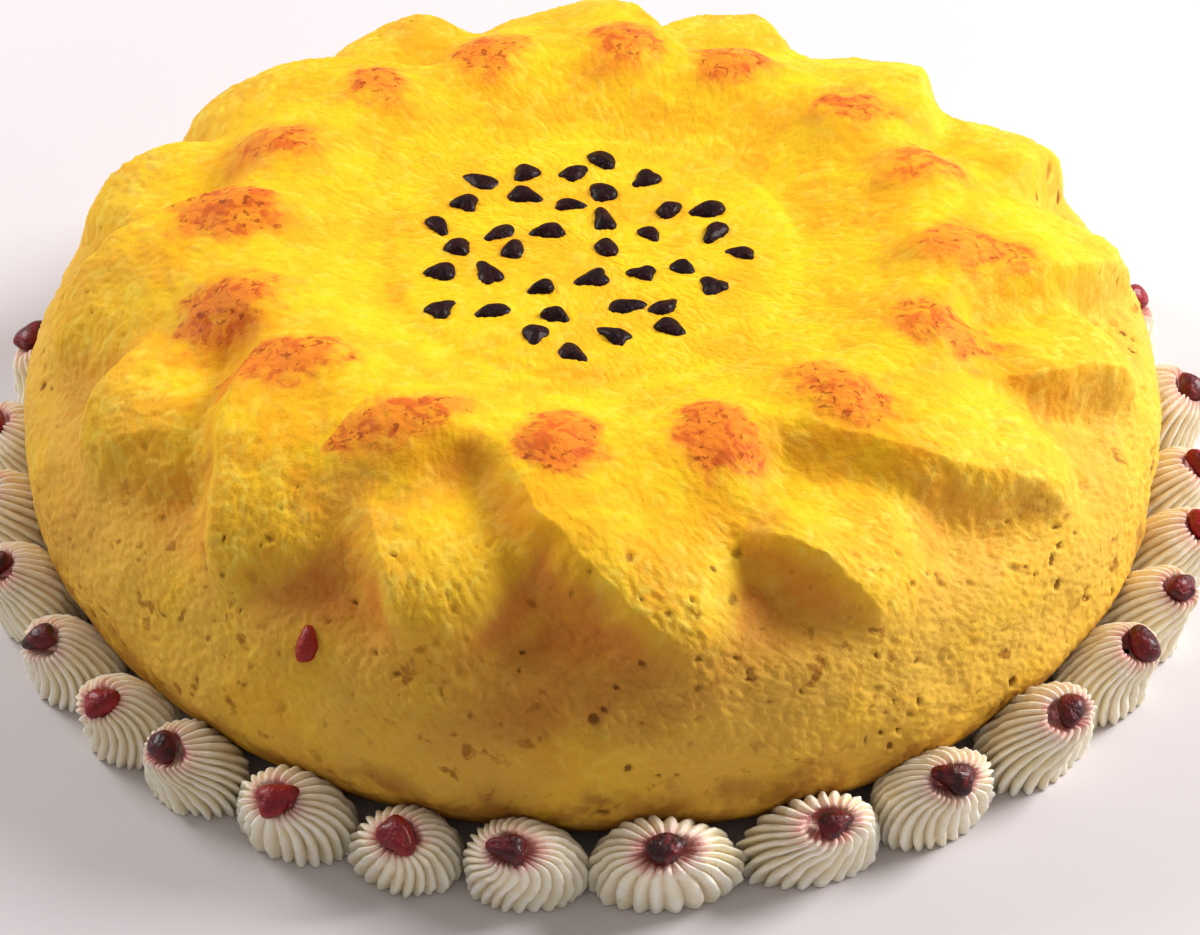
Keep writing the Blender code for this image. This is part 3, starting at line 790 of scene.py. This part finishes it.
def rosetteShape(points, berryCentre, rng):
    # A piped star: the profile turned about its axis with radius 1 - depth (1 - wave^roundness), twisted as it rises,
    # stretched to its neighbours and bent over outwards, with soft noise. Its place and reach come from the node
    out, side, middle, depth, before, after = rosettePlace(points, berryCentre)
    tilt = math.radians(ring["bend"])
    height = (points[:, 2].max() - 0.42 * depth * math.sin(tilt)) / math.cos(tilt)
    height = height * rng.uniform(*ring["taller"])

    profile = rosetteProfile(height)
    angle = np.arange(ring["steps"]) * 2 * np.pi / ring["steps"]
    radius, angle = np.meshgrid(profile[:, 0], angle, indexing="ij")
    up = np.broadcast_to(profile[:, 1][:, None], radius.shape)
    rise = np.clip(up / height, 0, 1)
    wave, bold = ridgeWaves(angle, rise, rng)
    crest, furrow = bold * wave ** ring["roundness"], 1 - wave ** ring["roundness"]
    fade = smooth(radius / 0.25) * (0.55 + 0.45 * smooth((1 - rise) / 0.25))    # shallower at the middle and the top
    ridged = radius * (1 - ring["ridgeDepth"] * rng.uniform(*ring["depthRange"]) * furrow * fade)
    ridged = ridged * (0.97 + ring["boldest"] * crest * fade * smooth(1.3 - 1.6 * rise))
    onTop = smooth(radius / 0.2) * smooth((rise - 0.45) / 0.3)
    up = up + (ring["topCrest"] * crest - ring["topFurrow"] * furrow) * onTop

    swirl = angle + math.radians(rng.uniform(*ring["twist"])) * rng.choice([1, 1, -1]) * rise**1.2
    along = depth * ridged * np.cos(swirl)
    sideways = ridged * np.sin(swirl)
    sideways = sideways * np.where(sideways > 0, after, before)
    bend = tilt * rise
    bentOut = along * np.cos(bend) + up * np.sin(bend)
    bentUp = up * np.cos(bend) - along * np.sin(bend)
    place = np.stack([bentOut, sideways, bentUp], axis=-1)
    (softness, softSize), (crinkle, crinkleSize) = ring["softness"], ring["crinkle"]
    soft = layeredNoise(place + rng.uniform(0, 9, 3), softSize, 3, 3) * softness
    soft = (soft + layeredNoise(place, crinkleSize, 13, 2) * crinkle) * smooth(rise / 0.2)
    bentOut = bentOut + soft * np.cos(swirl)
    sideways = sideways + soft * np.sin(swirl)
    bentUp = np.maximum(bentUp, 0)
    bentUp[-4:] = 0    # the foot's edge and the base lie flat
    world = np.empty((*radius.shape, 3))
    world[..., :2] = (middle + bentOut)[..., None] * out + sideways[..., None] * side
    world[..., 2] = bentUp
    # the stain round the berry, and where painted shade lies in the valleys
    return world.reshape(-1, 3), {"stain": smooth(1.5 - radius / 0.5) * (rise > 0.3), "valleyShade": (1 - wave) * fade}


def makeRosettes(material):
    # ten rosettes to a mesh, so that each mesh stays light, and one grid of faces for all
    names = sorted(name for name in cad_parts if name.startswith("rosette_"))
    rng = np.random.default_rng(ring["seed"])
    one = gridFaces(ring["rows"], ring["steps"])
    for number, first in enumerate(range(0, len(names), ring["perPiece"]), 1):
        group = names[first:first + ring["perPiece"]]
        shapes, values = [], []
        for name in group:
            low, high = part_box(name.replace("rosette", "berry"))
            shape, marks = rosetteShape(nodePoints(name), (low + high) / 2, rng)
            shapes.append(shape)
            values.append(marks)
        faces = np.concatenate([one + k * len(shapes[0]) for k in range(len(group))])
        marks = {key: np.concatenate([value[key].ravel() for value in values]) for key in values[0]}
        piece = f"rosettes{number}"
        addPiece(piece, buildMesh(piece, np.concatenate(shapes), faces, marks), material, group)
        print(piece, len(group), "rosettes")


def creamMaterial():
    # pale and warm cream mottled by soft noise, with painted shade in the valleys between the ridges, and a pink stain
    # round the berry
    shader = Shader("Piped cream", Specular_IOR_Level=0.42, Subsurface_Weight=0.30, Subsurface_Scale=0.003,
                    Subsurface_Radius=(1.0, 0.8, 0.6))
    tint = {key: colour(*value) for key, value in creamColours.items()}
    base = shader.mix(shader.between(shader.noise(140, 3.0), 0.35, 0.65), tint["pale"], tint["warm"])
    # painted shade in the valleys between the ridges
    base = shader.mix(shader.times(shader.attribute("valleyShade"), 0.55), base, tint["valleyShade"])
    base = shader.mix(shader.broken("stain", (260, 3.0, 0.8), 0.30, 0.60, 0.3, 0.9), base, tint["stain"])
    rough = shader.between(shader.noise(700, 2.0), 0.3, 0.7, 0.40, 0.58)
    return shader.finish(Base_Color=base, Roughness=rough, Normal=shader.bump(shader.noise(1500, 3.0), 0.00020))


# Floor, light and camera

studio = {
    "floor": {"size": 6.0, "drop": 0.0002, "colours": ((216, 209, 211), (210, 203, 206))},
    "key": {"angle": 18, "height": 36, "distance": 1.3, "size": 0.60, "power": 22},
    "fill": {"angle": 150, "height": 34, "distance": 1.3, "size": 0.60, "power": 10},
    "sky": {"colour": (1.0, 0.985, 0.97, 1), "strength": 0.38},
    "camera": {"target": (0.0013, 0.0, 0.0057), "angle": 270, "height": 37.9, "distance": 0.80, "lens": 114},
}


def addObject(name, data):
    # a new object in the scene
    added = bpy.data.objects.new(name, data)
    bpy.context.scene.collection.objects.link(added)
    return added


def placeAround(thing, settings, target=(0, 0, 0)):
    # puts a light or the camera at (cos a cos e, sin a cos e, sin e) times its distance from the target, and aims it
    a, e = math.radians(settings["angle"]), math.radians(settings["height"])
    direction = Vector((math.cos(a) * math.cos(e), math.sin(a) * math.cos(e), math.sin(e)))
    thing.location = Vector(target) + direction * settings["distance"]
    thing.rotation_euler = direction.to_track_quat("Z", "Y").to_euler()


def makeFloor():
    # one pale, plain square, a hair under the cake
    half = studio["floor"]["size"] / 2
    mesh = bpy.data.meshes.new("floor")
    mesh.from_pydata([(-half, -half, 0), (half, -half, 0), (half, half, 0), (-half, half, 0)], [], [(0, 1, 2, 3)])
    shader = Shader("Pale floor", Roughness=0.8, Specular_IOR_Level=0.2)
    first, second = studio["floor"]["colours"]
    mesh.materials.append(shader.finish(Base_Color=shader.mix(shader.noise(6, 2.0), colour(*first), colour(*second))))
    floor = addObject("floor", mesh)
    floor.location.z = -studio["floor"]["drop"]


def addAreaLight(name):
    # a round, soft light
    data = bpy.data.lights.new(name, "AREA")
    data.shape = "DISK"
    data.size = studio[name]["size"]
    data.energy = studio[name]["power"]
    placeAround(addObject(name, data), studio[name])


def addCamera():
    # looks down on the cake's front
    view = studio["camera"]
    data = bpy.data.cameras.new("camera")
    data.lens, data.sensor_width = view["lens"], 36
    camera = addObject("camera", data)
    placeAround(camera, view, view["target"])
    bpy.context.scene.camera = camera


def setStage():
    # floor, even sky light, two soft lights and the camera
    scene = bpy.context.scene
    scene.view_settings.view_transform = "Standard"
    scene.world = bpy.data.worlds.new("Studio")
    scene.world.use_nodes = True
    background = scene.world.node_tree.nodes["Background"]
    background.inputs["Color"].default_value = studio["sky"]["colour"]
    background.inputs["Strength"].default_value = studio["sky"]["strength"]
    makeFloor()
    addAreaLight("key")
    addAreaLight("fill")
    addCamera()
    print("stage set")


# All together

sharedRng = np.random.default_rng(rice["seed"])  # the waves are drawn first, then the crown's berries
surface, surfaceNormals = makeRice(sharedRng, riceMaterial())
makeCrownBerries(sharedRng, berryMaterial("Dark barberry"))
makeSideBerry(surface, surfaceNormals, berryMaterial("Baked barberry"))
makeRingBerries(berryMaterial("Red barberry"))
makeRosettes(creamMaterial())
setStage()
